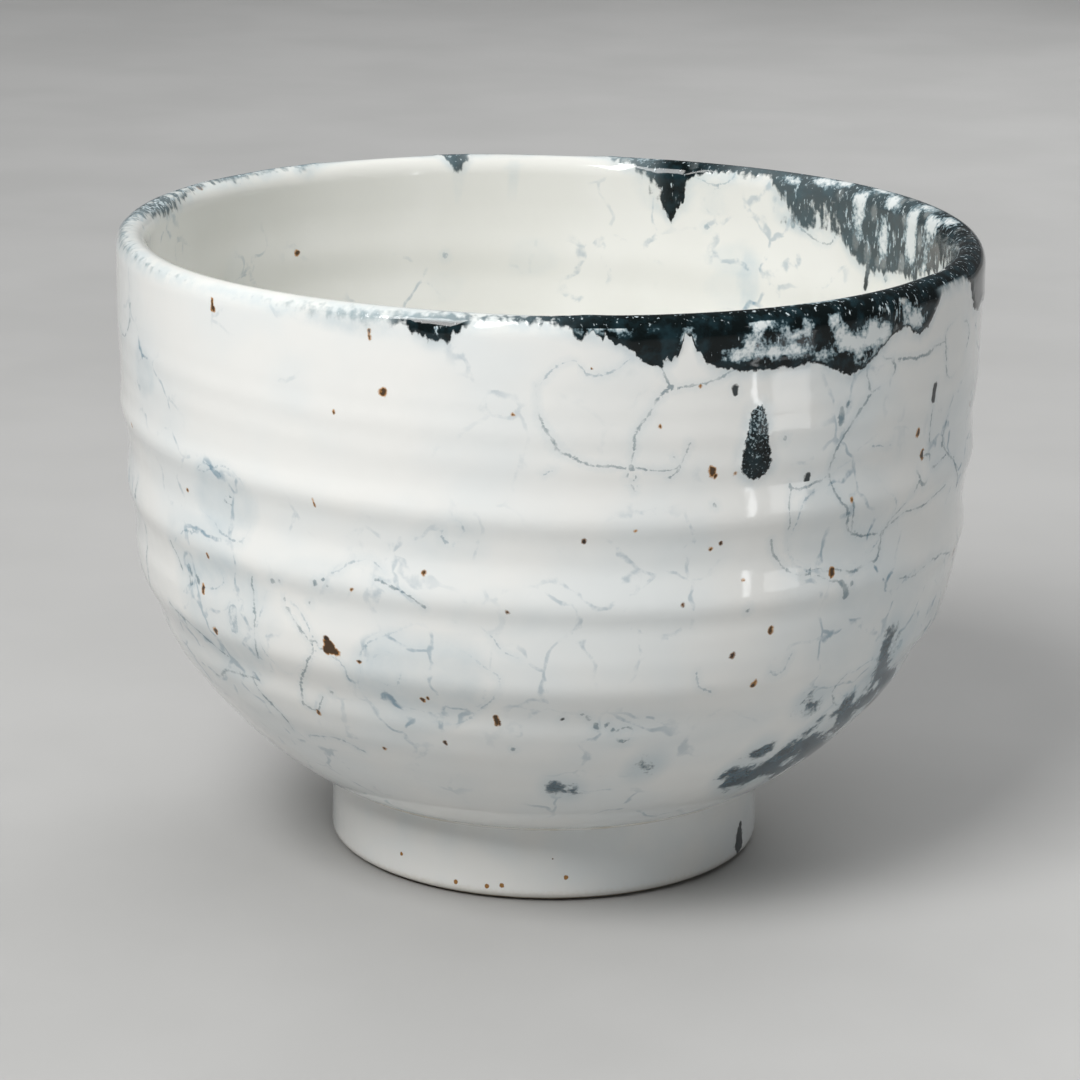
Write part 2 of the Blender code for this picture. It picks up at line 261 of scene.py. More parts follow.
# Lines of the foam, by colour: width in millimetres, then the places that the line runs through
STROKES = {
    SLATE: (
        (0.30, (-1.5, 77), (-1.4, 73.5), (-0.3, 71), (1.2, 69.4), (3.6, 68.2), (6.5, 67.6), (9, 67.1)),
        (0.34, (9.9, 67.2), (10.2, 70), (11.2, 72), (12.6, 74.4), (14.8, 76.7)),
        (0.26, (9.8, 67), (9.7, 65.4), (10.2, 63.6)),
        (0.24, (10.4, 67.2), (12.4, 66.7), (15, 66.5), (16.4, 67.4), (17.4, 69.6)),
        (0.28, (14.9, 76.8), (13.9, 78.2), (13.2, 79.6)),
        (0.28, (15.1, 76.8), (17.2, 77.1), (19.8, 77.4), (22.4, 78.2)),
        (0.22, (15.2, 65.3), (16.2, 66.8), (15.5, 68.2)),
        (0.32, (43.4, 72.6), (41.4, 71.2), (39.2, 68.8), (37.6, 65.8), (36.9, 63.4)),
        (0.34, (36.9, 63.2), (38.2, 61.2), (40.2, 58.6), (41.2, 56.0), (42.4, 54.9), (45.2, 54.3),
         (47.4, 54.0)),
        (0.26, (42.2, 54.9), (41.6, 57.6), (41.3, 59.6)),
        (0.34, (36.8, 63.2), (34.6, 63.0), (32.6, 62.4), (31.2, 62.8)),
        (0.24, (31.4, 62.5), (31.0, 60.4), (31.5, 57.6), (31.9, 54.6)),
        (0.34, (28.9, 55.9), (29.8, 54.0), (31.2, 52.2), (33.0, 50.8), (34.8, 50.2)),
        (0.30, (33.2, 50.7), (36.4, 50.0), (38.6, 49.6), (40.4, 49.2)),
        (0.30, (34.6, 51.0), (37.6, 50.7), (40.4, 50.5), (44.2, 50.3), (47.4, 50.6)),
        (0.42, (47.8, 54.0), (48.0, 52.4), (47.8, 50.8)),
        (0.34, (48.2, 53.9), (50.6, 56.2), (53.4, 58.4), (55.0, 59.8)),
        (0.26, (48.0, 54.0), (52.4, 55.6), (58.4, 56.0), (64, 56.4)),
        (0.30, (47.6, 76.5), (51.6, 76.2), (56.4, 76.2), (60.2, 76.3)),
        (0.40, (62.0, 62.6), (63.6, 61.2), (66.4, 59.6), (69.2, 57.2), (70.8, 55.4)),
        (0.30, (62.2, 62.4), (61.8, 64.4), (62.4, 66.6)),
        (0.28, (58.4, 60.6), (61.0, 60.5), (64.0, 60.6), (66.6, 60.0)),
        (0.26, (57.6, 64.2), (57.2, 66.2), (57.5, 69.6)),
        (0.28, (-41.0, 49.0), (-41.3, 46.4), (-40.9, 43.0), (-41.1, 40.0), (-41.8, 36.8)),
        (0.34, (-35.6, 45.1), (-33.8, 43.2), (-31.6, 41.0), (-32.4, 38.8), (-34.4, 35.4), (-36.4, 31.4)),
        (0.24, (-36.4, 31.4), (-34.4, 30.9), (-32.9, 31.6), (-31.9, 33.2)),
        (0.26, (-21.4, 50.9), (-18.8, 50.6), (-17.0, 49.4), (-15.4, 48.0)),
        (0.34, (-62.4, 40.0), (-56.5, 37.6), (-50.4, 34.8)),
        (0.32, (-57.0, 31.2), (-49.0, 32.6), (-43.8, 32.9)),
        (0.30, (-45.0, 33.0), (-44.4, 30.4), (-42.6, 28.6), (-42.8, 25.6)),
        (0.34, (-58.8, 48.8), (-57.2, 46.8), (-56.8, 45.4)),
        (0.30, (45.8, 35.4), (45.4, 32.6), (46.8, 30.0), (49.8, 28.7), (52.4, 29.6)),
        (0.26, (53.0, 46.8), (56.4, 46.5), (60.4, 47.4), (66.0, 47.0), (70.6, 45.6)),
    ),
    PALE_SLATE: (
        (0.20, (-1.6, 76.6), (0.5, 79.2), (3.5, 80.0), (4.8, 78.6), (7.4, 78.9), (9.8, 80.1)),
        (0.20, (0.6, 67.0), (-0.4, 66.4)),
        (0.22, (44.4, 66.4), (46.6, 65.9), (48.2, 66.1)),
        (0.26, (-31.4, 40.8), (-29.4, 40.0), (-27.0, 38.6), (-26.4, 36.4)),
        (0.22, (-27.5, 51.4), (-25.2, 52.8), (-22.4, 53.2), (-20.6, 52.4)),
        (0.26, (-49.8, 60.8), (-48.6, 61.9), (-46.4, 62.0), (-44.6, 61.2)),
        (0.20, (-7.0, 44.6), (-5.6, 43.0), (-3.6, 42.2)),
        (0.30, (19.9, 39.6), (20.6, 37.8), (22.4, 36.7)),
        (0.30, (30.4, 38.6), (31.6, 38.3), (33.0, 38.8), (33.6, 40.2)),
        (0.28, (-39.6, 25.2), (-34.0, 26.4), (-28.6, 25.0)),
    ),
}

# Whole rings of the foam: width, colour, azimuth, height, half width, half height
RINGS = (
    (0.22, PALE_SLATE, -16.5, 38.2, 9.4, 7.0), (0.20, PALE_SLATE, -45.5, 57.6, 6.0, 4.6),
    (0.30, SLATE, -44.1, 57.8, 0.75, 0.55), (0.26, SLATE, 9.8, 65.7, 0.55, 0.7),
    (0.22, SLATE, 10.2, 64.2, 0.4, 0.6), (0.32, SLATE, 45.1, 75.2, 2.7, 2.4),
    (0.32, SLATE, 64.4, 75.6, 4.6, 3.9), (0.34, SLATE, 56.4, 61.0, 1.7, 1.7),
    (0.30, SLATE, 11.2, 30.6, 1.3, 1.0), (0.28, SLATE, -31.6, 40.9, 0.8, 0.8),
    (0.22, PALE_SLATE, -21.0, 39.4, 2.2, 2.6), (0.24, PALE_SLATE, -36.2, 41.4, 4.6, 5.2),
    (0.20, PALE_SLATE, -11.8, 58.4, 1.3, 2.0), (0.24, PALE_SLATE, 49.2, 33.2, 3.6, 2.8),
    (0.22, PALE_SLATE, 40.6, 57.2, 8.8, 6.6), (0.20, PALE_SLATE, -52.0, 48.4, 5.4, 3.6),
)

# Dots and short runs, by colour: radius, azimuth, height, and how much higher the top of the run is
DOTS = {
    RUST: (
        (0.95, -28.7, 40.9, 0.5), (0.6, -29.4, 40.3, 0.2), (0.55, -27.9, 40.4, 0.1), (0.5, 20.3, 65.8, 0.5),
        (0.3, 20.8, 65.5, 0.0), (0.62, 55.8, 62.6, 0.3), (0.42, 53.4, 65.7, 0.2), (0.42, -16.8, 35.5, 0.1),
        (0.25, -15.8, 36.0, 0.1), (0.5, -6.5, 32.6, 0.5), (0.45, -20.4, 75.1, 0.3), (0.5, 38.8, 50.4, 0.2),
        (0.42, 29.7, 43.7, 0.2), (0.42, 28.3, 37.2, 0.3), (0.4, -50.0, 39.1, 0.2), (0.38, -33.9, 30.6, 0.1),
        (0.3, -24.6, 26.5, 0.1), (0.32, 41.1, 59.5, 0.2), (0.2, -26.7, 71.7, 0.1), (0.24, 5.5, 79.2, 0.1),
        (0.22, 18.5, 77.0, 0.0), (0.24, 13.7, 72.0, 0.1), (0.2, 23.3, 65.5, 0.1), (0.18, -29.2, 60.1, 0.2),
        (0.22, 10.4, 58.8, 0.0), (0.22, 20.1, 55.5, 0.1), (0.26, -15.2, 52.7, 0.0), (0.18, 24.9, 51.1, 0.0),
        (0.2, -24.4, 49.5, 0.1), (0.24, -25.0, 39.8, 0.0), (0.24, -48.9, 49.4, 0.1),
        (0.26, -53.8, 56.3, 0.1), (0.16, -4.8, 73.2, 0.0), (0.3, -45.7, 81.7, 1.6),
        (0.36, -45.3, 81.9, 0.2), (0.18, -21.8, 81.8, 1.0), (0.36, -51.5, 44.0, 0.9),
    ),
    DARK_RUST: (
        (0.5, -28.9, 41.9, 0.3), (0.3, -6.2, 32.4, 0.3), (0.28, -20.3, 75.3, 0.1), (0.26, 29.8, 43.6, 0.1),
        (0.3, 3.9, 57.7, 0.2), (0.32, 24.2, 41.3, 0.1), (0.3, -14.2, 28.9, 0.1), (0.28, 21.3, 56.3, 0.0),
        (0.2, 17.5, 49.0, 0.1), (0.2, -4.9, 48.4, 0.0),
    ),
    INK: (
        (0.18, 2.4, 33.0, 0.0), (0.5, 22.9, 75.6, 0.2), (0.62, 57.4, 70.2, 1.5), (0.45, 33.6, 63.8, 0.4),
        (0.6, 44.0, 78.6, 0.3),
    ),
    SLATE: (
        (0.55, 38.2, 70.8, 0.8), (0.34, 29.4, 69.0, 0.1), (0.3, 39.4, 72.2, 0.2), (0.3, 20.7, 61.4, 0.1),
        (0.26, 25.5, 47.4, 0.1), (0.5, 48.0, 53.7, 0.2), (0.42, 36.9, 63.2, 0.0), (0.4, 9.9, 67.1, 0.2),
        (0.42, 14.9, 76.8, 0.0), (0.4, 62.0, 62.4, 0.2), (0.55, 41.0, 47.0, 1.4), (0.4, 40.4, 48.8, 0.3),
        (0.3, 42.2, 48.6, 0.2), (0.32, 47.6, 76.2, 0.4), (0.26, -31.7, 40.9, 0.1), (0.28, -29.8, 49.4, 0.2),
        (0.22, -28.0, 49.2, 0.0), (0.26, -28.6, 50.2, 0.0), (0.3, -37.4, 48.3, 0.1),
        (0.24, -36.2, 48.6, 0.1), (0.3, -35.8, 46.1, 0.0), (0.28, -30.2, 34.0, 0.2),
        (0.2, -31.0, 46.2, 0.1), (0.4, 6.0, 33.2, 0.2), (0.45, 7.0, 31.9, 0.4), (0.3, 8.8, 32.0, 0.1),
        (0.34, 9.6, 31.2, 0.0), (0.3, 5.2, 33.9, 0.0), (0.24, -4.4, 28.4, 0.1), (0.6, -54.4, 44.4, 1.2),
        (0.4, -52.6, 45.4, 0.2),
    ),
    PALE_SLATE: (
        (0.5, -54.6, 45.0, 1.2), (0.9, -45.2, 40.6, 2.4), (0.7, -44.4, 33.4, 0.4), (0.8, 57.6, 36.0, 0.3),
    ),
}

# The long run below the dark rim, narrow at its top: ends (azimuth, height, radius)
OVAL = ((25.9, 66.35, 2.05), (25.9, 72.7, 0.95))

INSIDE_DOTS = {
    INK: (
        (0.6, 161.0, 77.6, 1.6), (0.5, 122.4, 71.6, 2.8),
    ),
    SLATE: (
        (0.4, 123.2, 73.6, 1.4), (0.55, 195.2, 80.8, 2.2), (0.4, 118.0, 73.4, 1.0),
        (0.35, 108.5, 74.6, 0.6), (0.4, 139.0, 78.0, 0.5),
    ),
    RUST: (
        (0.5, 224.0, 73.2, 0.1), (0.45, 244.0, 82.2, 0.2), (0.3, 208.0, 62.0, 0.0),
        (0.35, 168.0, 57.0, 0.0), (0.3, 131.0, 60.0, 0.1), (0.35, 96.0, 66.0, 0.1), (0.4, 310.0, 64.0, 0.1),
    ),
    PALE_SLATE: (
        (0.5, 197.0, 70.0, 0.1), (0.45, 155.0, 76.0, 0.1),
    ),
    DARK_RUST: (
        (0.3, 262.0, 58.0, 0.0), (0.3, 40.0, 70.0, 0.1),
    ),
}
INSIDE_STROKES = {
    SLATE: (
        (0.26, (130, 79.0), (131.4, 76.6), (134.4, 76.0), (137.4, 77.4), (138.8, 79.6)),
    ),
    PALE_SLATE: (
        (0.24, (150.5, 82.0), (151.4, 79.4), (154.2, 78.8), (157.0, 80.2)),
    ),
}


def by_colour(groups):
    """The marks of every colour as one list, each with its colour first."""
    return [(colour, *mark) for colour, marks in groups.items() for mark in marks]


def foam_net(seed, first, last, low, high, share):
    """Walls between burst bubbles and a scatter of iron spots, for a side that has none listed."""
    rng = np.random.default_rng(seed)
    grid = [(a, h) for a in np.arange(first, last, FOAM_PITCH) for h in np.arange(low, high, FOAM_PITCH)]
    loose = 0.49 * FOAM_PITCH
    middles = np.array(grid) + rng.uniform(-loose, loose, (len(grid), 2))
    corners, _, faces, *_ = delaunay_2d_cdt([Vector(m) for m in middles], [], [], 0, 1e-4)
    meetings, walls = [], {}
    for index, face in enumerate(faces):
        ends = np.array([corners[i] for i in face])
        sides = ends[1:] - ends[0]
        meetings.append(ends[0] + np.linalg.solve(2 * sides, (sides * sides).sum(axis=1)))
        for start, end in zip(face, face[1:] + face[:1]):
            walls.setdefault(frozenset((start, end)), []).append(index)
    strokes, dots = [], []
    for pair in walls.values():
        start, end = meetings[pair[0]], meetings[pair[-1]]
        length = np.linalg.norm(end - start)
        patch = 0.5 + 0.5 * math.sin(start[0] / 9 + seed) * math.cos(start[1] / 8 + 2 * seed)
        unfit = min(start[0], end[0]) < first or max(start[0], end[0]) > last
        unfit = unfit or min(start[1], end[1]) < low or max(start[1], end[1]) > high
        unfit = unfit or not 0.5 < length < 2 * FOAM_PITCH
        if unfit or rng.random() > share * smoothstep(0.2, 0.75, patch):
            continue
        bulge = np.array([start[1] - end[1], end[0] - start[0]]) * rng.normal(0, 0.16)
        colour = SLATE if rng.random() < 0.55 else PALE_SLATE
        middle = (start + end) / 2 + bulge
        strokes.append((colour, rng.uniform(0.2, 0.36), tuple(start), tuple(middle), tuple(end)))
        if rng.random() < 0.45:
            dots.append((SLATE, rng.uniform(0.26, 0.5), *start, 0.1))
    spots_per_square = 0.006
    for _ in range(int(spots_per_square * (last - first) * (high - low))):
        kind = RUST if rng.random() < 0.7 else DARK_RUST
        size = 0.18 + 0.4 * rng.random() ** 3
        dots.append((kind, size, rng.uniform(first, last), rng.uniform(low, high), rng.uniform(0, 0.4)))
    return strokes, dots


# ---------------------------------------------------------------- marks and pools, spread over a mesh


def smooth_path(places, closed=False, step=1.0):
    """A curve through the given places (Catmull-Rom), with a point about every step."""
    points = np.array(places, float)
    if closed:
        padded = np.concatenate([points[-1:], points, points[:2]])
    else:
        padded = np.concatenate([2 * points[:1] - points[1:2], points, 2 * points[-1:] - points[-2:-1]])
    found = []
    for before, start, end, after in zip(padded, padded[1:], padded[2:], padded[3:]):
        count = max(2, int(np.linalg.norm(end - start) / step) + 1)
        t = np.linspace(0, 1, count, endpoint=False)[:, None]
        found.append(
            0.5 * (2 * start + (end - before) * t + (2 * before - 5 * start + 4 * end - after) * t**2
                   + (3 * start - before - 3 * end + after) * t**3)
        )
    return np.concatenate(found + [padded[-2][None]])


def capsules_from(strokes, rings, dots):
    """One row for each short straight run: start, run, radius and colour. Rows near a seam are repeated."""
    rows = []
    for colour, width, *places in strokes:
        line = smooth_path(places)
        for start, end in zip(line, line[1:]):
            rows.append((*start, *(end - start), width / 2, *colour))
    for width, colour, azimuth, height, half_width, half_height in rings:
        turn = np.linspace(0, 2 * math.pi, 13)[:-1]
        uneven = 1 + 0.10 * np.sin(3 * turn + azimuth) + 0.07 * np.sin(5 * turn + height)
        places = np.stack(
            [azimuth + half_width * uneven * np.cos(turn), height + half_height * uneven * np.sin(turn)], 1
        )
        line = smooth_path(places, closed=True)
        for index, (start, end) in enumerate(zip(line, line[1:])):
            strength = 0.55 + 0.45 * math.sin(2 * math.pi * index / len(line) * 2 + azimuth)
            rows.append((*start, *(end - start), width / 2, *colour[:3], colour[3] * strength))
    for colour, radius, azimuth, height, run in dots:
        rows.append((azimuth, height, 0.01, run + 0.01, radius, *colour))
    rows = np.array(rows)
    azimuth = rows[:, 0]
    turn = np.array([360.0] + [0.0] * 8)
    repeats = [rows[azimuth < -160] + turn, rows[azimuth > 160] - turn, rows[azimuth < 20] + turn]
    return np.concatenate([rows, *repeats])


def distance_to(places, start, run):
    """Distance from each place to each straight run, in the azimuth and height numbers."""
    offset = places[:, None, :] - start[None]
    share = np.clip((offset * run).sum(2) / np.maximum((run * run).sum(1), 1e-9), 0, 1)
    return np.linalg.norm(offset - share[..., None] * run, axis=2)


def nearest_marks(places, capsules):
    """For each place, the rows of the few marks whose edges are nearest."""
    chosen = np.zeros((len(places), MARK_LAYERS), int)
    for first in range(0, len(places), COLUMNS):
        part = slice(first, first + COLUMNS)
        level = places[part, 1].mean()
        close = np.argsort(np.abs(capsules[:, 1] - level))[: max(12, len(capsules) // 4)]
        near = capsules[close]
        gap = distance_to(places[part], near[:, 0:2], near[:, 2:4]) - near[:, 4]
        order = np.argpartition(gap, MARK_LAYERS, axis=1)[:, :MARK_LAYERS]
        by_gap = np.argsort(np.take_along_axis(gap, order, 1), axis=1)
        chosen[part] = close[np.take_along_axis(order, by_gap, 1)]
    return chosen


def aside(azimuth, centre):
    """Degrees from a centre line, the short way round."""
    return np.mod(azimuth - centre + 180, 360) - 180


def pool_depth(azimuth, height, pools):
    """How far inside the deepest of some oval pools each place lies, times the pool's strength."""
    depth = np.full(azimuth.shape, -50.0)
    for centre, middle, half_width, half_height, strength in pools:
        reach = np.hypot(aside(azimuth, centre) / half_width, (height - middle) / half_height)
        depth = np.maximum(depth, (1 - reach) * min(half_width, half_height) * strength)
    return depth


def capsule_depth(azimuth, height, capsules):
    depth = np.full(azimuth.shape, -50.0)
    for start, end, radius in capsules:
        start, run = np.array(start, float), np.subtract(end, start) + 1e-6
        offset = np.stack([aside(azimuth, start[0]), height - start[1]], -1)
        share = np.clip((offset * run).sum(-1) / (run * run).sum(), 0, 1)
        depth = np.maximum(depth, radius - np.linalg.norm(offset - share[..., None] * run, axis=-1))
    return depth


def film_strength(azimuth, height, films):
    """Blue film inside the filled bubbles: thickest at the rim of each bubble."""
    strength = np.zeros(azimuth.shape)
    for centre, middle, half_width, half_height, amount in films:
        across, above = aside(azimuth, centre) / half_width, (height - middle) / half_height
        around = np.arctan2(above, across)
        uneven = 1 + 0.07 * np.sin(3 * around + centre) + 0.05 * np.sin(5 * around + middle)
        reach = np.hypot(across, above) * uneven
        inside = np.clip((1.10 - reach) / 0.36, 0, 1)
        strength += amount * inside * (0.55 + 0.45 * reach**3)
    return np.clip(strength, 0, 1)


def smoothstep(low, high, value):
    t = np.clip((value - low) / (high - low), 0, 1)
    return t * t * (3 - 2 * t)


def curve_at(azimuth, places):
    table = np.array(places, float)
    return np.interp(azimuth, table[:, 0], table[:, 1])


# ---------------------------------------------------------------- the glazed skin


def throwing_rings(azimuth, height):
    """The spiral that the potter's fingers leave: two strong turns above the belly, and weaker ones below."""
    level = height + azimuth * THROWING_PITCH / 360
    turn = (level - 60.2) / THROWING_PITCH
    ridge = (0.5 + 0.5 * np.cos(2 * math.pi * turn)) ** 1.5 - 0.42
    fine = np.cos(2 * math.pi * 3 * turn + 0.8)
    strong = (0.22 * smoothstep(18, 30, height) + 0.78 * smoothstep(42, 48, height)) * (
        1 - 0.88 * smoothstep(61.5, 66.5, height)
    )
    groove = -0.30 * np.exp(-(((level - 33.5) / 2.0) ** 2)) + 0.16 * np.exp(-(((level - 37.5) / 2.6) ** 2))
    return 0.64 * strong * ridge + groove + 0.028 * fine * smoothstep(14, 30, height)


def inside_rings(azimuth, height):
    turn = height / INSIDE_PITCH - azimuth / 360
    shown = smoothstep(20, 34, height) * (1 - smoothstep(74, 82, height))
    return shown * (0.16 * np.cos(2 * math.pi * turn) + 0.05 * np.cos(4 * math.pi * turn + 1.0))


def glaze_sheet():
    """The whole section, each row's part (0 outside, 1 lip, 2 inside), and its way from the seam."""
    outside, lip, inside = outside_line(), lip_line(), inside_line()
    line = np.concatenate([outside, lip[1:], inside[1:]])
    part = np.repeat([0, 1, 2], [len(outside), len(lip) - 1, len(inside) - 1])
    over = lengths_along(line)
    from_seam = over - over[len(outside) - 1]
    return line, part, from_seam, len(outside), len(lip)


def hand_made(azimuth, height):
    """How the bowl leaves a true round: radius change and height change in millimetres."""
    turn = np.radians(azimuth)
    grown = np.clip(height / HEIGHT, 0, 1.05)
    radial = 0.16 * np.cos(2 * turn + 0.7) + 0.10 * np.cos(3 * turn - 1.2) + 0.05 * np.cos(7 * turn)
    rise = -0.34 * np.sin(turn) + 0.10 * np.cos(3 * turn + 0.4) + 0.05 * np.cos(5 * turn + 2.0)
    return grown**1.5 * radial, grown**3 * rise


def bent(radius, azimuth, height):
    """Points of a turned piece, with the bowl's hand-made unevenness, in metres."""
    radial, rise = hand_made(azimuth, height)
    turn = np.radians(azimuth)
    points = radius + radial * np.clip(radius / 20, 0, 1)
    return np.stack([points * np.sin(turn), -points * np.cos(turn), height + rise], axis=-1) * MM


# How broken up the dark rim is, from 0 (solid black) to 1 (laced with blue-white)
MOTTLE_OUTSIDE = (
    (-180, 0.7), (-100, 0.7), (-60, 0.9), (-16, 0.4), (0, 0.8), (6, 0.35), (9, 0.0), (15, 0.0), (18, 0.3),
    (22, 0.2), (24, 0.35), (30, 0.5), (34, 0.2), (38, 0.4), (44, 0.7), (48, 0.9), (54, 0.5), (70, 0.2),
    (100, 0.7), (130, 0.6), (180, 0.7),
)
MOTTLE_INSIDE = (
    (0, 0.5), (60, 0.6), (96, 0.7), (112, 0.75), (128, 0.7), (134, 0.7), (150, 0.5), (158, 0.7),
    (161, 0.35), (164, 0.7), (172, 0.8), (190, 0.6), (228, 0.9), (240, 1.15), (262, 1.15), (300, 0.8),
    (360, 0.6),
)


def sheet_fields(line, part, from_seam, azimuth):
    """The pattern's fields at every point of the sheet, with rows along the section and columns round it."""
    lip_length = from_seam[part == 1][-1]
    crest = lip_length / 2
    lip_height = HEIGHT - np.abs(from_seam - crest) * (HEIGHT - SEAM_HEIGHT) / crest
    height = np.where(part == 1, lip_height, line[:, 1])
    run = np.where(part == 0, line[:, 1] - SEAM_HEIGHT, from_seam)
    run = np.where(part == 2, lip_length + SEAM_HEIGHT - line[:, 1], run)[:, None]
    inside = (run > crest)[:, 0]
    inside_azimuth = np.mod(azimuth, 360)

    def along_lip(depth):
        return np.where(depth > 0, depth + 1.1 * np.minimum(depth / LIP_RISE, 1), depth)

    start = crest - along_lip(curve_at(azimuth, RUN_OUTSIDE))[None]
    end = crest + along_lip(curve_at(inside_azimuth, RUN_INSIDE))[None]
    dark = np.minimum(run - start, end - run)

    outside_places = np.broadcast_arrays(azimuth[None], height[:, None])
    inside_places = np.broadcast_arrays(inside_azimuth[None], height[:, None])
    near_outside = pool_depth(*outside_places, RIM_POOLS)
    near_inside = pool_depth(*inside_places, INSIDE_POOLS)
    pool = np.where(inside[:, None], near_inside, near_outside)
    mottle_inside, mottle_outside = curve_at(inside_azimuth, MOTTLE_INSIDE), curve_at(azimuth, MOTTLE_OUTSIDE)
    mottle = np.where(inside[:, None], mottle_inside[None], mottle_outside[None])

    low, high = OVAL
    share = np.clip((outside_places[1] - low[1]) / (high[1] - low[1]), 0, 1)
    gap = np.hypot(outside_places[0] - low[0], outside_places[1] - (low[1] + share * (high[1] - low[1])))
    oval = low[2] + (high[2] - low[2]) * share**1.4 - gap
    only_outside = ~inside[:, None]
    dark = np.where(only_outside, np.maximum(dark, oval), dark)
    near_oval = only_outside & (oval > -2.0)
    mottle = np.where(near_oval, 0.35 + 0.85 * smoothstep(65.5, 72.0, height[:, None]), mottle)
    calm = np.where(near_oval, 1.0, np.where(only_outside, curve_at(azimuth, CALM)[None], 0.1))
    thin_inside, thin_outside = curve_at(inside_azimuth, THIN_INSIDE), curve_at(azimuth, THIN_OUTSIDE)
    thin = np.where(inside[:, None], thin_inside[None], np.where(near_oval, 0.0, thin_outside[None]))
    for centre, middle, radius in CLOTS:
        clot = radius - np.hypot(outside_places[0] - centre, outside_places[1] - middle)
        pool = np.where(only_outside, np.minimum(pool, -clot), pool)
    cobalt = np.where(only_outside, capsule_depth(*outside_places, COBALT), -50.0)
    film_outside = film_strength(*outside_places, FILMS)
    film_inside = film_strength(*inside_places, INSIDE_FILMS)
    film = np.where(only_outside, film_outside, film_inside)
    warm = np.broadcast_to(smoothstep(crest - 2.5, crest + 1.5, run), dark.shape)
    fields = {"dark": dark, "mottle": mottle, "milk": pool, "calm": calm, "thin": thin}
    fields.update({"cobalt": cobalt, "film": film, "warm": warm})
    return fields, height, inside


def sheet_relief(line, part, azimuth, dark):
    """How far each point of the sheet stands off its plain outline, in millimetres."""
    height = line[:, 1][:, None]
    outer = throwing_rings(azimuth[None], height) * (1 - smoothstep(73, SEAM_HEIGHT, height))
    inner = inside_rings(azimuth[None], height)
    relief = np.where((part == 0)[:, None], outer, np.where((part == 2)[:, None], inner, 0.0))
    bead = np.exp(-(((dark - 0.7) / 0.55) ** 2))
    return relief + 0.14 * smoothstep(-0.2, 1.2, dark) + 0.09 * bead


def surface_normals(points):
    """Normals of a sheet of points, rows along the section and columns closed round the axis."""
    along = np.gradient(points, axis=0)
    round_axis = np.roll(points, -1, axis=1) - np.roll(points, 1, axis=1)
    normals = np.cross(round_axis, along)
    return normals / np.maximum(np.linalg.norm(normals, axis=2, keepdims=True), 1e-12)


def grid_faces(rows, columns):
    """Faces of a sheet that is closed round the axis, facing away from the clay."""
    row, column = np.meshgrid(np.arange(rows - 1), np.arange(columns), indexing="ij")
    following = (column + 1) % columns
    here, above = row * columns, (row + 1) * columns
    corners = [here + column, here + following, above + following, above + column]
    return np.stack(corners, axis=-1).reshape(-1, 4).tolist()


def piece_from(name, points, faces, normals=None):
    mesh = bpy.data.meshes.new(name)
    mesh.from_pydata(points.tolist(), [], faces)
    mesh.shade_smooth()
    if normals is not None:
        mesh.normals_split_custom_set_from_vertices(normals.tolist())
    piece = bpy.data.objects.new(name, mesh)
    bpy.context.scene.collection.objects.link(piece)
    return piece


def dress(piece, material, node):
    piece.data.materials.append(material)
    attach(piece, "root")
    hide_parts(node)


def add_field(piece, name, kind, domain, values):
    attribute = piece.data.attributes.new(name, kind, domain)
    key = {"FLOAT": "value", "FLOAT_VECTOR": "vector", "FLOAT_COLOR": "color"}[kind]
    attribute.data.foreach_set(key, np.ascontiguousarray(values, np.float32).ravel())


def mark_fields(piece, places, sides, capsules):
    """Gives each face the few marks nearest to its place, out of the list that its side reads."""
    chosen = np.zeros((len(places), MARK_LAYERS, 9))
    for side, rows in enumerate(capsules):
        here = sides == side
        if here.any():
            chosen[here] = rows[nearest_marks(places[here], rows)]
    flat = np.zeros((len(places), 1))
    for layer in range(MARK_LAYERS):
        mark = chosen[:, layer]
        add_field(piece, f"mark{layer}_start", "FLOAT_VECTOR", "FACE", np.hstack([mark[:, 0:2], flat]))
        add_field(piece, f"mark{layer}_run", "FLOAT_VECTOR", "FACE", np.hstack([mark[:, 2:4], flat]))
        add_field(piece, f"mark{layer}_radius", "FLOAT", "FACE", mark[:, 4])
        add_field(piece, f"mark{layer}_colour", "FLOAT_COLOR", "FACE", mark[:, 5:9])


def all_capsules():
    """The outside's marks and the inside's, listed ones first."""
    strokes, dots, inside_strokes, inside_dots = map(by_colour, (STROKES, DOTS, INSIDE_STROKES, INSIDE_DOTS))
    for seed, first, last in (11, 72, 178), (23, -178, -66):
        more = foam_net(seed, first, last, 20, 80, 0.95)
        strokes += more[0]
        dots += more[1]
    for seed, first, last, low, high, share in (
        (37, 5, 95, 34, 76, 0.6), (41, 262, 355, 34, 76, 0.6), (43, 100, 255, 26, 62, 0.45)
    ):
        more = foam_net(seed, first, last, low, high, share)
        inside_strokes += more[0]
        inside_dots += more[1]
    return capsules_from(strokes, RINGS, dots), capsules_from(inside_strokes, (), inside_dots)


def face_places(azimuth, height, inside):
    """Azimuth and height at the corners and the middle of each face, and 1 for a face of the inside."""
    start = np.where(inside[:, None], np.mod(azimuth, 360)[None], azimuth[None])
    end = start + 360 / COLUMNS
    low = np.broadcast_to(height[:-1, None], start.shape)
    high = np.broadcast_to(height[1:, None], start.shape)
    corners = [np.stack(c, axis=-1) for c in ((start, low), (end, low), (end, high), (start, high))]
    corners = np.stack(corners, axis=2).reshape(-1, 4, 2)
    return corners.reshape(-1, 2), corners.mean(axis=1), np.repeat(inside.astype(int), COLUMNS)


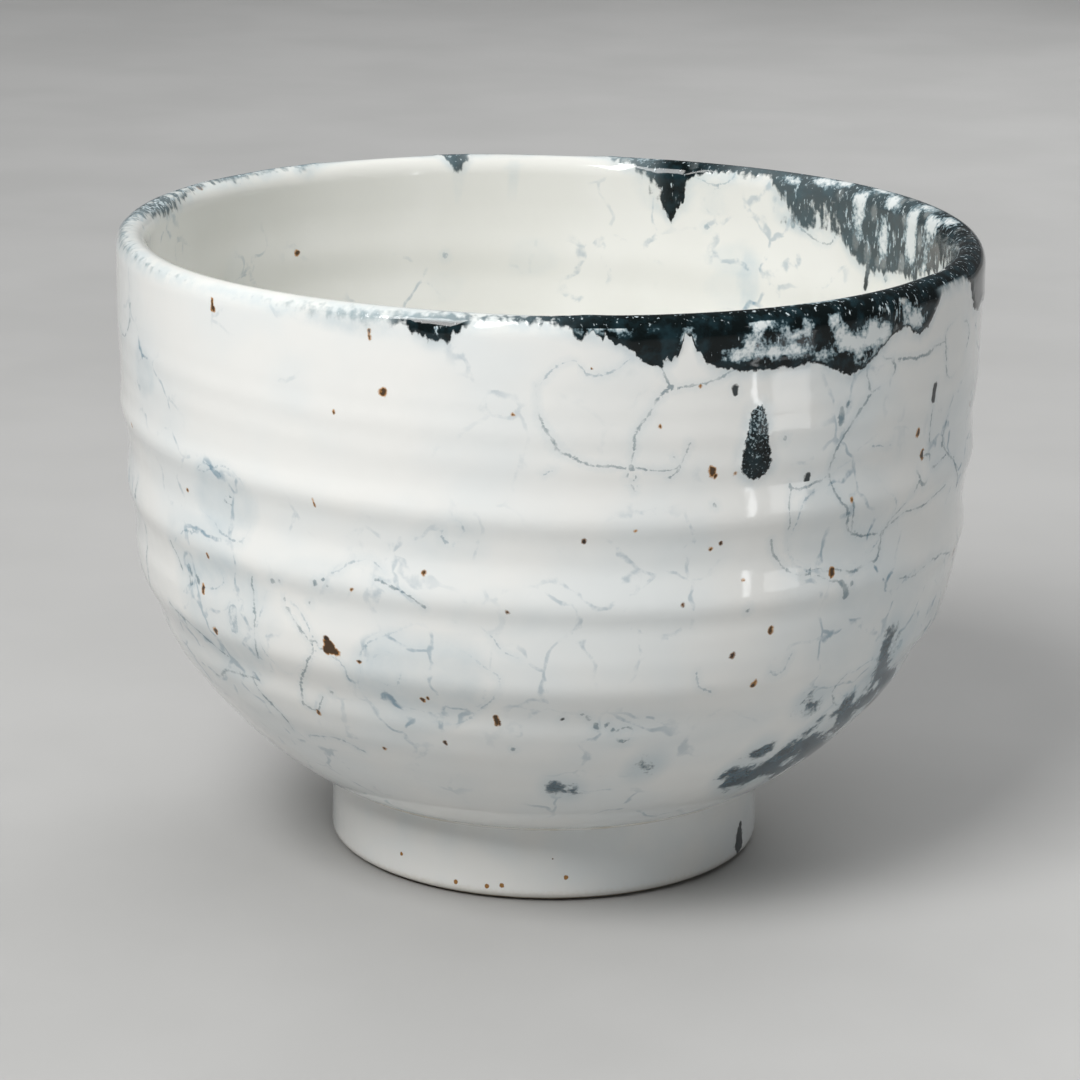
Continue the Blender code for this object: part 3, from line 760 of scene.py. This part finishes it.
def make_skins(material):
    """The three visible glaze coats, cut from one sheet so that they meet without a step."""
    line, part, from_seam, outside_rows, lip_rows = glaze_sheet()
    azimuth = np.linspace(-180, 180, COLUMNS, endpoint=False)
    fields, height, inside = sheet_fields(line, part, from_seam, azimuth)
    along = np.gradient(line, axis=0)
    along /= np.linalg.norm(along, axis=1, keepdims=True)
    off = sheet_relief(line, part, azimuth, fields["dark"]) * smoothstep(1.5, 9.0, line[:, :1])
    points = bent(line[:, :1] + off * along[:, 1:], azimuth[None], line[:, 1:] - off * along[:, :1])
    normals = surface_normals(points)
    normals[-1] = (0, 0, 1)
    capsules = all_capsules()
    cuts = {
        "outer_glaze_skin": (0, outside_rows, "outer_glaze", "white_glaze"),
        "lip_glaze_skin": (outside_rows - 1, outside_rows + lip_rows - 1, "lip_glaze", "dark_glaze"),
        "inner_glaze_skin": (outside_rows + lip_rows - 2, len(line), "inner_glaze", "cream_glaze"),
    }
    for name, (first, last, node, slot) in cuts.items():
        rows = slice(first, last)
        side = inside[first : last - 1]
        if node != "lip_glaze":
            side = np.full(len(side), node == "inner_glaze")
        faces = grid_faces(last - first, COLUMNS)
        corners, middles, sides = face_places(azimuth, height[rows], side)
        if node == "inner_glaze":
            faces.append(list(range((last - first - 1) * COLUMNS, (last - first) * COLUMNS)))
            corners = np.concatenate([corners, np.tile([0.0, FLOOR_HEIGHT], (COLUMNS, 1))])
            middles = np.concatenate([middles, [[0.0, FLOOR_HEIGHT]]])
            sides = np.append(sides, 1)
        piece = piece_from(name, points[rows].reshape(-1, 3), faces, normals[rows].reshape(-1, 3))
        for field, values in fields.items():
            add_field(piece, field, "FLOAT", "POINT", values[rows])
        add_field(piece, "place", "FLOAT_VECTOR", "CORNER", np.hstack([corners, np.zeros((len(corners), 1))]))
        mark_fields(piece, middles, sides, capsules)
        dress(piece, material, node)


def turned_piece(name, outline, step, material, node):
    """A turned piece of the foot, as a fine sheet that is closed where it meets the axis."""
    line = evenly(outline, step)
    azimuth = np.linspace(-180, 180, FOOT_COLUMNS, endpoint=False)
    radius = np.broadcast_to(line[:, :1], (len(line), FOOT_COLUMNS))
    faces = grid_faces(len(line), FOOT_COLUMNS)
    if line[0, 0] < 1.0:
        faces.append(list(range(FOOT_COLUMNS))[::-1])
    piece = piece_from(name, bent(radius, azimuth[None], line[:, 1:]).reshape(-1, 3), faces)
    dress(piece, material, node)


# ---------------------------------------------------------------- materials


class Value:
    """What a node gives out. The sum or product of two values is a node too."""

    def __init__(self, graph, socket):
        self.graph, self.socket = graph, socket

    def __add__(self, other):
        return self.graph.math("ADD", self, other)

    def __sub__(self, other):
        return self.graph.math("SUBTRACT", self, other)

    def __rsub__(self, other):
        return self.graph.math("SUBTRACT", other, self)

    def __mul__(self, other):
        return self.graph.math("MULTIPLY", self, other)


class Graph:
    """A material whose nodes are added one call at a time, each call giving a Value."""

    def __init__(self, name):
        self.material = bpy.data.materials.new(name)
        self.material.use_nodes = True
        self.tree = self.material.node_tree
        self.shader = self.tree.nodes["Principled BSDF"]

    def feed(self, socket, value):
        if isinstance(value, Value):
            self.tree.links.new(value.socket, socket)
        else:
            socket.default_value = value

    def node(self, kind, inputs=(), output=0, **settings):
        """Adds a node, with its inputs given in order or as a dict of names or numbers."""
        made = self.tree.nodes.new(kind)
        for key, value in settings.items():
            setattr(made, key, value)
        for socket, value in inputs.items() if isinstance(inputs, dict) else enumerate(inputs):
            self.feed(made.inputs[socket], value)
        return Value(self, made.outputs[output])

    def math(self, operation, *values, clamp=False):
        return self.node("ShaderNodeMath", values, operation=operation, use_clamp=clamp)

    def vector(self, operation, *values, output="Vector"):
        return self.node("ShaderNodeVectorMath", values, output, operation=operation)

    def scaled(self, vector, share):
        return self.node("ShaderNodeVectorMath", {0: vector, "Scale": share}, operation="SCALE")

    def step(self, value, low, high, start=0.0, end=1.0):
        """A smooth step from start to end, as the value goes from low to high."""
        inputs = (value, low, high, start, end)
        return self.node("ShaderNodeMapRange", inputs, interpolation_type="SMOOTHSTEP")

    def mix(self, factor, first, second):
        return self.node("ShaderNodeMix", {0: factor, 6: first, 7: second}, 2, data_type="RGBA")

    def field(self, name, output="Fac"):
        return self.node("ShaderNodeAttribute", (), output, attribute_name=name)

    def object_place(self, squeeze=1.0):
        """The place on the object. A squeeze under 1 draws a pattern out up and down."""
        return self.vector("MULTIPLY", self.node("ShaderNodeTexCoord", (), "Object"), (1.0, 1.0, squeeze))

    def noise(self, place, millimetres, detail=2.0, roughness=0.5, output=0):
        inputs = {"Vector": place, "Scale": 1 / (millimetres * MM), "Detail": detail, "Roughness": roughness}
        return self.node("ShaderNodeTexNoise", inputs, output)

    def cells(self, place, millimetres, feature, **more):
        inputs = {"Vector": place, "Scale": 1 / (millimetres * MM), **more}
        return self.node("ShaderNodeTexVoronoi", inputs, "Distance", feature=feature)

    def swayed(self, place, solid, millimetres, reach, detail=2.0, roughness=0.5):
        """A place pushed about by a soft noise, by up to half of reach each way."""
        noise = self.noise(solid, millimetres, detail, roughness, output=1)
        away = self.vector("SUBTRACT", noise, (0.5, 0.5, 0.5))
        return self.vector("ADD", place, self.vector("MULTIPLY", away, reach))

    def surface(self, inputs, height=None):
        """Feeds the shader by socket name. The height of its fine relief is in millimetres."""
        if height is not None:
            relief = {"Strength": 1.0, "Distance": MM, "Height": height}
            inputs["Normal"] = self.node("ShaderNodeBump", relief)
        for name, value in inputs.items():
            self.feed(self.shader.inputs[name], value)
        return self.material


WHITE, COOL_WHITE = (0.81, 0.815, 0.795, 1), (0.755, 0.785, 0.785, 1)
CREAM, PALE_CREAM = (0.735, 0.74, 0.705, 1), (0.77, 0.775, 0.745, 1)
FILM, THREAD = (0.42, 0.535, 0.595, 1), (0.26, 0.36, 0.43, 1)
BLACK_GLAZE, BLUE_GLAZE = (0.0035, 0.0065, 0.0070, 1), (0.012, 0.030, 0.038, 1)
WASH, OVAL_GRAIN = (0.19, 0.275, 0.31, 1), (0.30, 0.38, 0.41, 1)
DEEP_COBALT, PALE_COBALT = (0.014, 0.034, 0.046, 1), (0.055, 0.105, 0.140, 1)
GREY_FLECK, FLECK = (0.22, 0.31, 0.35, 1), (0.58, 0.66, 0.69, 1)
GREY_LACE, LACE = (0.40, 0.47, 0.48, 1), (0.66, 0.68, 0.66, 1)
GREY_MILK, MILK = (0.18, 0.27, 0.31, 1), (0.72, 0.76, 0.76, 1)
BUFF_CLAY, BROWN_CLAY = (0.56, 0.49, 0.39, 1), (0.46, 0.38, 0.28, 1)
DARK_GROG, PALE_GROG = (0.20, 0.14, 0.09, 1), (0.66, 0.61, 0.52, 1)
THIN_GLAZE, PALE_SLIP = (0.58, 0.52, 0.43, 1), (0.66, 0.63, 0.55, 1)
FLOOR, PALE_FLOOR = (0.41, 0.41, 0.405, 1), (0.44, 0.44, 0.435, 1)
GLAZE_IOR = 1.52


def mark_cover(graph, place, layer, grain, broken):
    """How much one of the marks near a point covers it, with a grainy core and a faint halo, and its edge."""
    start = graph.field(f"mark{layer}_start", "Vector")
    run = graph.field(f"mark{layer}_run", "Vector")
    alpha = graph.field(f"mark{layer}_colour", "Alpha")
    offset = graph.vector("SUBTRACT", place, start)
    along = graph.vector("DOT_PRODUCT", offset, run, output="Value")
    whole = graph.vector("DOT_PRODUCT", run, run, output="Value")
    share = graph.math("DIVIDE", along, whole, clamp=True)
    gap = graph.vector("SUBTRACT", offset, graph.scaled(run, share))
    line = graph.step(alpha, 0.92, 0.84)
    edge = graph.vector("LENGTH", gap, output="Value") - graph.field(f"mark{layer}_radius")
    edge = edge + grain * (line * 0.9 + 1.0)
    core = graph.step(edge, 0.19, -0.15) * (1.0 - (1.0 - broken) * (line * 0.85))
    halo = graph.step(edge, 1.15, 0.05) * graph.step(alpha, 1.0, 0.95, 0.0, 0.22)
    return graph.math("MAXIMUM", core, halo) * alpha, edge


def add_marks(graph, colour, place, grain, broken):
    """Lays the strongest of the nearby marks over the glaze. Iron spots are darkest in the middle."""
    strongest, deepest = mark_cover(graph, place, 0, grain, broken)
    tone = graph.field("mark0_colour", "Color")
    for layer in range(1, MARK_LAYERS):
        cover, edge = mark_cover(graph, place, layer, grain, broken)
        stronger = graph.math("GREATER_THAN", cover, strongest)
        tone = graph.mix(stronger, tone, graph.field(f"mark{layer}_colour", "Color"))
        strongest = graph.math("MAXIMUM", cover, strongest)
        deepest = graph.math("MINIMUM", edge, deepest)
    iron = graph.step(graph.field("mark0_colour", "Alpha"), 0.975, 0.995)
    shade = graph.step(deepest + grain * 0.9, -0.27, 0.06, 0.18, 1.8)
    tone = graph.scaled(tone, iron * (shade - 1.0) + 1.0)
    tone = graph.mix(graph.step(strongest, 0.12, 0.42), FILM, tone)
    return graph.mix(strongest, colour, tone)


def glaze_material():
    """White glaze with blue films, foam lines, iron spots and cobalt, under the dark coat of the rim."""
    graph = Graph("bubble glaze")
    solid = graph.object_place()
    fine = graph.noise(solid, 0.55, 3.0, 0.6)
    middle = graph.noise(solid, 2.4, 3.0, 0.55)
    broad = graph.noise(solid, 17.0)
    streak = graph.noise(graph.object_place(0.32), 0.60, 3.0, 0.62)
    teeth = graph.noise(graph.object_place(0.36), 1.05, 1.5)
    fine_off, middle_off, teeth_off = fine - 0.5, middle - 0.5, teeth - 0.5
    place = graph.swayed(graph.field("place", "Vector"), solid, 2.6, (1.0, 1.0, 0.0), 2.0, 0.55)
    place = graph.swayed(place, solid, 7.5, (2.4, 2.4, 0.0), 1.0)

    colour = graph.mix(graph.step(broad, 0.38, 0.68), WHITE, COOL_WHITE)
    cream = graph.mix(graph.step(broad, 0.35, 0.7), CREAM, PALE_CREAM)
    colour = graph.mix(graph.field("warm"), colour, cream)

    film = graph.field("film")
    colour = graph.mix(film * graph.step(middle, 0.2, 0.8, 0.6, 1.0) * 0.55, colour, FILM)
    threads = graph.cells(graph.swayed(solid, solid, 6.0, (6 * MM, 6 * MM, 6 * MM)), 8.5, "DISTANCE_TO_EDGE")
    threads = graph.step(threads + fine_off * 0.03, 0.045, 0.012)
    where = graph.step(film, 0.05, 0.45, 0.0, 0.6) + graph.step(broad, 0.50, 0.64, 0.0, 0.5)
    colour = graph.mix(threads * (where * graph.step(middle, 0.42, 0.62)), colour, THREAD)

    broken = graph.step(middle + fine_off * 0.4, 0.25, 0.62)
    colour = add_marks(graph, colour, place, fine_off * 0.55, broken)

    cobalt = graph.field("cobalt")
    colour = graph.mix(graph.step(cobalt, -3.6, 0.2) * 0.45, colour, FILM)
    blotch = graph.noise(solid, 4.6, 2.0, 0.6) - 0.5
    cobalt = cobalt + blotch * 6.5 + middle_off * 3.0 + fine_off * 2.4
    cobalt_colour = graph.mix(graph.step(fine + middle_off * 0.5, 0.40, 0.60), DEEP_COBALT, PALE_COBALT)
    colour = graph.mix(graph.step(cobalt, -0.95, 0.35, 0.0, 0.95), colour, cobalt_colour)

    dark, calm, thin, mottle = (graph.field(name) for name in ("dark", "calm", "thin", "mottle"))
    depth = graph.step(dark, 0.15, 1.1)
    edge = dark + teeth_off * 3.6 * (1.0 - calm) + fine_off * 1.1
    dark_mask = graph.step(edge, -0.10, thin * 1.3 + 0.14) * graph.step(thin, 0.2, 1.0, 1.0, 0.7)
    grains = graph.step(graph.noise(solid, 0.36, 2.0, 0.6) + mottle * 0.16, 0.66, 0.80)
    grains = grains * graph.step(calm, 0.9, 1.0)
    flecks = graph.step(streak + mottle * 0.20, 0.72, 0.81) * depth * graph.step(calm, 1.0, 0.9)
    lace = graph.cells(graph.object_place(0.55), 2.6, "SMOOTH_F1", Smoothness=0.15) + fine_off * 0.35
    lace = graph.step(lace, 0.40, 0.24) * graph.step(mottle, 0.62, 0.95) * depth
    milk = graph.field("milk") + teeth_off * 1.1 + middle_off * 1.5 + fine_off * 2.0
    milk_cover = graph.step(milk, -0.30, 0.26, 0.0, 0.97) * graph.step(dark, 0.0, 0.5)

    dark_colour = graph.mix(graph.step(middle, 0.40, 0.72), BLACK_GLAZE, BLUE_GLAZE)
    dark_colour = graph.mix(grains, dark_colour, OVAL_GRAIN)
    dark_colour = graph.mix(graph.step(thin, 0.1, 1.0, 0.0, 0.9), dark_colour, WASH)
    dark_colour = graph.mix(flecks, dark_colour, graph.mix(graph.step(fine, 0.35, 0.6), GREY_FLECK, FLECK))
    dark_colour = graph.mix(lace, dark_colour, graph.mix(graph.step(fine, 0.3, 0.6), GREY_LACE, LACE))
    milk_colour = graph.mix(graph.step(milk, -0.15, 0.80), GREY_MILK, MILK)
    dark_colour = graph.mix(milk_cover, dark_colour, milk_colour)
    fringe = graph.step(dark, -1.9, 0.0) * graph.step(middle, 0.25, 0.7, 0.2, 1.0)
    colour = graph.mix(fringe * 0.42, colour, FILM)
    looks = {
        "Base Color": graph.mix(dark_mask, colour, dark_colour),
        "Roughness": graph.step(middle, 0.3, 0.7, 0.045, 0.085),
        "Specular IOR Level": graph.step(dark_mask, 0.0, 1.0, 0.5, 0.25),
        "IOR": GLAZE_IOR,
    }
    return graph.surface(looks, graph.noise(solid, 5.0) * 0.05 + dark_mask * 0.05)


# Spots on the foot: azimuth, height, radius and colour
FOOT_SPOTS = (
    (64.8, 2.4, 1.5, INK), (65.2, 3.7, 1.1, INK), (66.0, 4.9, 0.6, INK), (-160.0, 7.0, 0.9, INK),
    (-23.0, 1.9, 0.35, RUST), (-14.5, 1.9, 0.32, RUST), (-10.5, 2.2, 0.35, RUST), (6.0, 3.6, 0.32, RUST),
    (-40.0, 4.0, 0.3, RUST), (120.0, 4.4, 0.5, RUST), (-100.0, 5.0, 0.4, RUST), (178.0, 4.0, 0.45, RUST),
    (2.5, 6.2, 0.2, DARK_RUST), (150.0, 6.6, 0.3, DARK_RUST), (-135.0, 3.0, 0.3, DARK_RUST),
)


def foot_material():
    """White glaze on the foot, thin near its lower edge, with brown pinholes and one dark drop."""
    graph = Graph("foot glaze")
    solid = graph.object_place()
    fine = graph.noise(solid, 0.6, 3.0, 0.6)
    fine_off = fine - 0.5
    colour = graph.mix(graph.step(graph.noise(solid, 11.0), 0.4, 0.65), WHITE, COOL_WHITE)
    level = graph.node("ShaderNodeSeparateXYZ", (solid,), "Z")
    thin = graph.step(level + fine_off * MM, 1.9 * MM, 0.9 * MM)
    colour = graph.mix(thin * 0.35, colour, THIN_GLAZE)
    for azimuth, height, radius, tone in FOOT_SPOTS:
        turn = math.radians(azimuth)
        middle = (FOOT_RADIUS * MM * math.sin(turn), -FOOT_RADIUS * MM * math.cos(turn), height * MM)
        gap = graph.vector("LENGTH", graph.vector("SUBTRACT", solid, middle), output="Value")
        gap = gap + fine_off * (1.3 * radius * MM)
        colour = graph.mix(graph.step(gap, 1.08 * radius * MM, 0.8 * radius * MM), colour, tone)
    looks = {
        "Base Color": colour, "Roughness": graph.step(fine, 0.3, 0.7, 0.14, 0.22), "IOR": GLAZE_IOR,
        "Coat Weight": 0.25, "Coat Roughness": 0.05,
    }
    return graph.surface(looks, graph.noise(solid, 4.0) * 0.06)


def clay_material():
    """Bare fired stoneware: buff, with darker grog and iron, and rough."""
    graph = Graph("fired clay")
    solid = graph.object_place()
    grit = graph.noise(solid, 0.35, 4.0, 0.7)
    colour = graph.mix(graph.step(graph.noise(solid, 7.0, 3.0), 0.35, 0.7), BUFF_CLAY, BROWN_CLAY)
    colour = graph.mix(graph.step(grit, 0.62, 0.72), colour, DARK_GROG)
    colour = graph.mix(graph.step(grit, 0.36, 0.28), colour, PALE_GROG)
    roughness = graph.step(grit, 0.2, 0.8, 0.62, 0.88)
    return graph.surface({"Base Color": colour, "Roughness": roughness}, grit * 0.10)


def slip_material():
    graph = Graph("glazed slip")
    patch = graph.noise(graph.object_place(), 5.0, 3.0, 0.55)
    colour = graph.mix(graph.step(patch, 0.35, 0.7), WHITE, PALE_SLIP)
    roughness = graph.step(patch, 0.3, 0.7, 0.14, 0.28)
    return graph.surface({"Base Color": colour, "Roughness": roughness}, patch * 0.08)


# ---------------------------------------------------------------- the foot


def make_foot():
    white, clay, slip = foot_material(), clay_material(), slip_material()
    low, high = FOOT_LOW[2], FOOT_HIGH[2]
    top = FOOT_RADIUS - FOOT_TAPER
    edge = (top - 0.02, high - 0.2)
    glaze = [
        arc((FOOT_RADIUS - 0.6, low + 0.1), (0.6, 0.72), -72, 0, 12),
        bezier((FOOT_RADIUS, low + 0.2), (FOOT_RADIUS - 0.05, low + 4.0), (top - 0.1, high - 3.0), edge),
        np.array([edge, (top - 0.3, high + 0.6)]),
    ]
    turned_piece("foot_glaze_skin", glaze, 0.5, white, "foot_glaze")
    middle = (SLIP_LOW[2] + SLIP_HIGH[2]) / 2
    bead = [arc((top - 0.5, middle - JOINT_DROP), (JOINT_RADIUS - top + 0.5, 0.62), -100, 95, 40)]
    turned_piece("joint_slip_bead", bead, 0.2, slip, "joint_slip")
    inner = WELL_HIGH[0] + 0.3
    outer = RING_HIGH[0]
    ring = [
        np.array([(outer, RING_HIGH[2] - 1.0), (outer, 0.9)]),
        arc((outer - 0.9, 0.9), (0.9, 0.9), 0, -90, 12),
        arc((inner + 0.9, 0.9), (0.9, 0.9), -90, -180, 12),
        np.array([(inner, 0.9), (inner, RING_HIGH[2] - 1.0)]),
    ]
    ring = [s[::-1] for s in ring[::-1]]
    turned_piece("foot_ring_clay", ring, 0.45, clay, "foot_ring")
    well = WELL_HIGH[0] - GLAZE
    ceiling = WELL_HIGH[2] - GLAZE
    centre = (0.6, ceiling - 2.2)
    coat = [
        arc((well + 0.25, WELL_LOW[2] + 0.3), (0.25, 0.3), -90, -180, 8),
        np.array([(well, WELL_LOW[2] + 0.3), (well, ceiling - 1.4)]),
        arc((well - 1.4, ceiling - 1.4), (1.4, 1.4), 0, 90, 14),
        bezier((well - 1.4, ceiling), (well * 0.66, ceiling), (well * 0.4, ceiling - 2.2), centre),
    ]
    coat = [s[::-1] for s in coat[::-1]]
    turned_piece("base_glaze_skin", coat, 0.6, white, "base_glaze")
    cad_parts["bowl_body"].data.materials.clear()
    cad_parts["bowl_body"].data.materials.append(clay)


# ---------------------------------------------------------------- stage, light and camera


def make_floor():
    graph = Graph("studio floor")
    cloud = graph.noise(graph.object_place(), 60.0, 3.0)
    colour = graph.mix(graph.step(cloud, 0.3, 0.7), FLOOR, PALE_FLOOR)
    material = graph.surface({"Base Color": colour, "Roughness": 0.7, "Specular IOR Level": 0.25})
    side = 6.0
    corners = np.array([(-side, -side, 0), (side, -side, 0), (side, side, 0), (-side, side, 0)])
    floor = piece_from("floor", corners, [(0, 1, 2, 3)])
    floor.data.materials.append(material)


def add_lamp(light, place, turn, glossy=True):
    lamp = bpy.data.objects.new(light.name, light)
    lamp.location = place
    lamp.rotation_euler = turn
    lamp.visible_glossy = glossy
    bpy.context.scene.collection.objects.link(lamp)
    return lamp


def add_softbox(name, place, target, width, height, power, colour=(1.0, 1.0, 1.0), glossy=True):
    light = bpy.data.lights.new(name, "AREA")
    light.shape = "RECTANGLE"
    light.size = width
    light.size_y = height
    light.energy = power
    light.color = colour
    turn = (Vector(target) - Vector(place)).to_track_quat("-Z", "Y").to_euler()
    add_lamp(light, place, turn, glossy).visible_camera = False


def make_light():
    """A key light on the left, soft light from behind and above, and a card and a strip on the right."""
    world = bpy.data.worlds.new("studio")
    world.use_nodes = True
    background = world.node_tree.nodes["Background"]
    background.inputs["Color"].default_value = (0.90, 0.92, 0.94, 1)
    background.inputs["Strength"].default_value = 0.11
    bpy.context.scene.world = world
    bowl, right_of_front = (0, 0, 0.05), (0.03, -0.045, 0.066)
    warm, cool = (1.0, 0.99, 0.975), (0.97, 0.99, 1.0)
    add_softbox("key", (-0.36, -0.55, 0.76), bowl, 0.42, 0.42, 9.4, warm)
    add_softbox("fill", (0.30, 0.66, 0.50), bowl, 0.5, 0.5, 2.2, glossy=False)
    ceiling = bpy.data.lights.new("ceiling", "SUN")
    ceiling.energy = 1.3
    ceiling.angle = math.radians(80)
    add_lamp(ceiling, (0, 0, 0), (math.radians(-8), math.radians(6), 0), glossy=False)
    add_softbox("card", (0.195, -0.125, 0.034), right_of_front, 0.040, 0.036, 0.008, cool)
    add_softbox("strip", (0.156, -0.144, 0.085), right_of_front, 0.005, 0.150, 0.013, cool)
    bpy.context.scene.view_settings.view_transform = "Standard"


def make_camera():
    """The photo's view: from the front, a little above the rim, looking down at the bowl."""
    data = bpy.data.cameras.new("camera")
    data.lens = 119.5
    data.sensor_width = 36.0
    data.clip_start = 0.01
    camera = bpy.data.objects.new("camera", data)
    place, yaw, down, roll = (0.0, -0.4718, 0.1763), 0.12, 15.95, 0.71
    turn = Matrix.Rotation(math.radians(yaw), 4, "Z") @ Matrix.Rotation(math.radians(90 - down), 4, "X")
    camera.matrix_world = Matrix.Translation(place) @ turn @ Matrix.Rotation(math.radians(roll), 4, "Z")
    bpy.context.scene.collection.objects.link(camera)
    bpy.context.scene.camera = camera


make_skins(glaze_material())
make_foot()
make_floor()
make_light()
make_camera()
